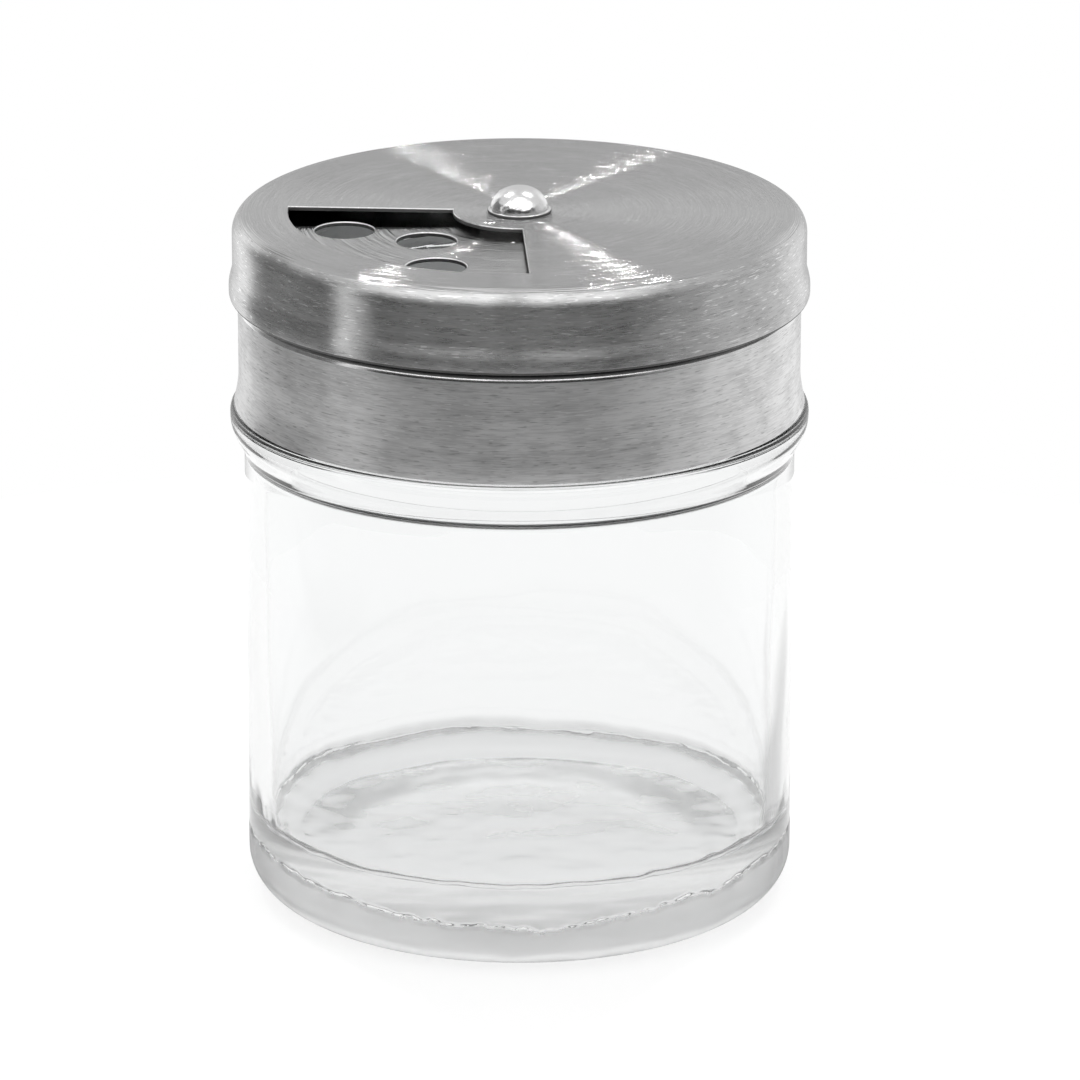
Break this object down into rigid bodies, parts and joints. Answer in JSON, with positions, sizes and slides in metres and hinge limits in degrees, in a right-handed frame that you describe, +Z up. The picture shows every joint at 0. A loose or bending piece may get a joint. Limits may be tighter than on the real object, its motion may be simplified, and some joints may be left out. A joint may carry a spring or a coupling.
{
  "type": "glass spice jar with rotating shaker lid",
  "caption": "Clear glass spice jar with a screw-on brushed steel lid, whose rotating cover has a fan-shaped window that turns over sifter holes and a pouring slot.",
  "frame": {"origin": "middle of the foot, on the surface that the jar stands on", "axes": "+Z up along the jar's axis; the picture's camera looks along +Y from above, with +X to the right"},
  "size_m": [0.063, 0.063, 0.0796],
  "materials": {
    "clear_glass": "clear, smooth, slightly wavy inside",
    "silicone": "matt translucent white",
    "liner_plastic": "satin white",
    "cap_steel": "brushed round the band",
    "cover_steel": "spun finish on top, brushed round the side",
    "rivet_steel": "polished",
    "nylon": "natural",
    "washer_steel": "stamped"
  },
  "bodies": {
    "jar": {"glass_jar": "clear_glass"},
    "seal": {"sealing_ring": "silicone"},
    "cap": {"shaker_cap": "cap_steel", "threaded_liner": "liner_plastic", "pivot_rivet": "rivet_steel", "turning_washer": "nylon", "rivet_washer": "washer_steel"},
    "cover": {"rotating_cover": "cover_steel"}
  },
  "joints": [
    {"name": "lid_rise", "type": "slide", "parent": "jar", "child": "seal", "axis": [0, 0, 1], "range_m": [0, 0.0222]},
    {"name": "lid_turn", "type": "hinge", "parent": "seal", "child": "cap", "pos_m": [0, 0, 0.0643], "axis": [0, 0, 1], "range_deg": [0, 1980]},
    {"name": "cover_turn", "type": "hinge", "parent": "cap", "child": "cover", "pos_m": [0, 0, 0.0769], "axis": [0, 0, 1], "continuous": true}
  ],
  "couplings": [
    {"joint": "lid_rise", "follows": "lid_turn", "m_per_rad": 0.00063662}
  ]
}
